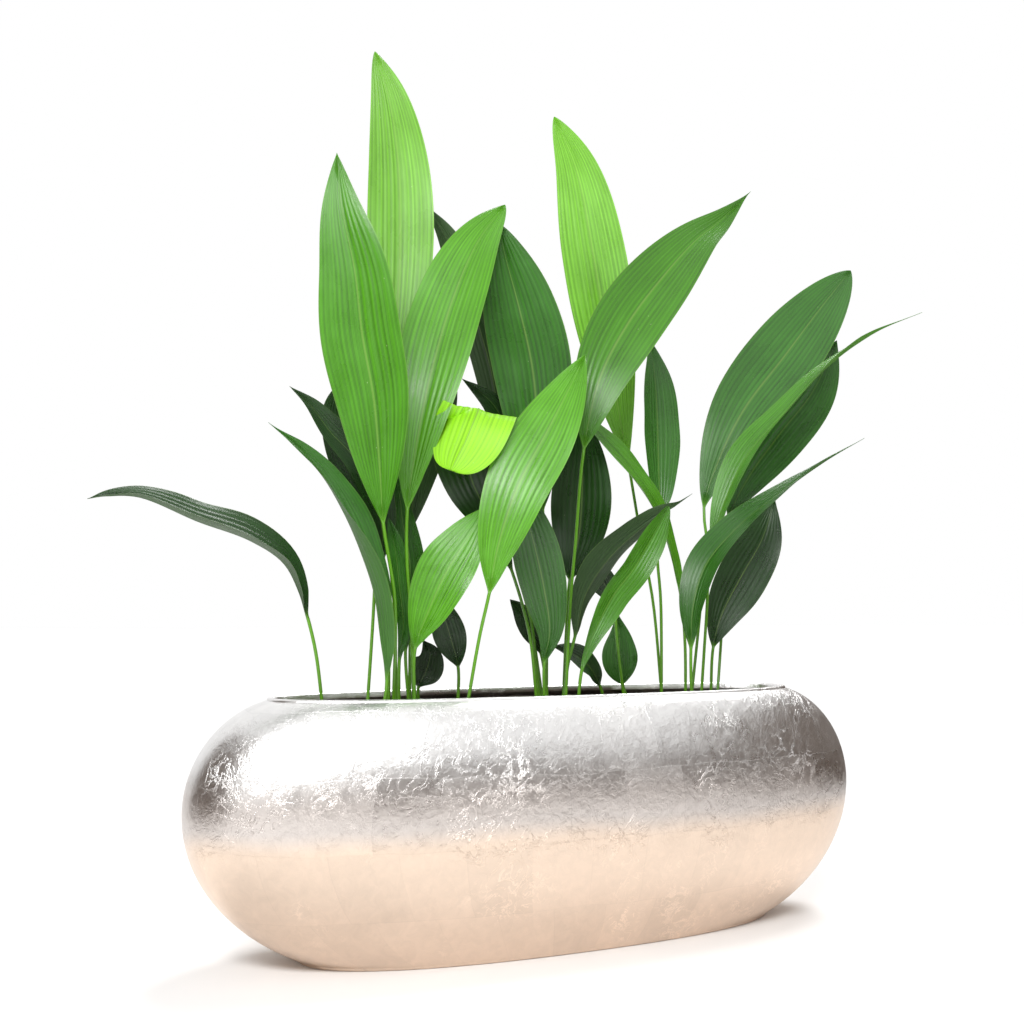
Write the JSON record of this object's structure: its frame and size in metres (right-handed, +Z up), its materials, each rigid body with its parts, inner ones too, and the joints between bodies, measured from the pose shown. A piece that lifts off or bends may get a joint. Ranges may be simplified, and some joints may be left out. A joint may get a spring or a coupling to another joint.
{
  "type": "potted cast iron plant",
  "caption": "Cast iron plant with long arching leaves on thin stalks, growing in a low oval planter with a silver leaf finish, to stand on a floor.",
  "frame": {"origin": "centre of the planter's flat base, on the floor", "axes": "+Z up, +X along the planter, +Y across it, away from its front"},
  "size_m": [1.1853, 0.3, 1.1102],
  "materials": {
    "silver_leaf": "silver leaf, brushed on in squares and sealed",
    "potting_soil": "rough, dark and slightly moist",
    "leaf": "glossy upper side with fine ribs, duller underside"
  },
  "bodies": {
    "root": {"planter": "silver_leaf", "soil": "potting_soil", "left_leaf_01": "leaf", "left_leaf_02": "leaf", "left_leaf_03": "leaf", "left_leaf_04": "leaf", "left_leaf_05": "leaf", "left_leaf_06": "leaf", "left_leaf_07": "leaf", "left_leaf_08": "leaf", "left_leaf_09": "leaf", "left_leaf_10": "leaf", "left_leaf_11": "leaf", "left_leaf_12": "leaf", "left_leaf_13": "leaf", "middle_leaf_01": "leaf", "middle_leaf_02": "leaf", "middle_leaf_03": "leaf", "middle_leaf_04": "leaf", "middle_leaf_05": "leaf", "middle_leaf_06": "leaf", "middle_leaf_07": "leaf", "middle_leaf_08": "leaf", "middle_leaf_09": "leaf", "middle_leaf_10": "leaf", "middle_leaf_11": "leaf", "middle_leaf_12": "leaf", "middle_leaf_13": "leaf", "middle_leaf_14": "leaf", "right_leaf_01": "leaf", "right_leaf_02": "leaf", "right_leaf_03": "leaf", "right_leaf_04": "leaf", "right_leaf_05": "leaf", "right_leaf_06": "leaf", "right_leaf_07": "leaf", "right_leaf_08": "leaf"}
  },
  "joints": []
}
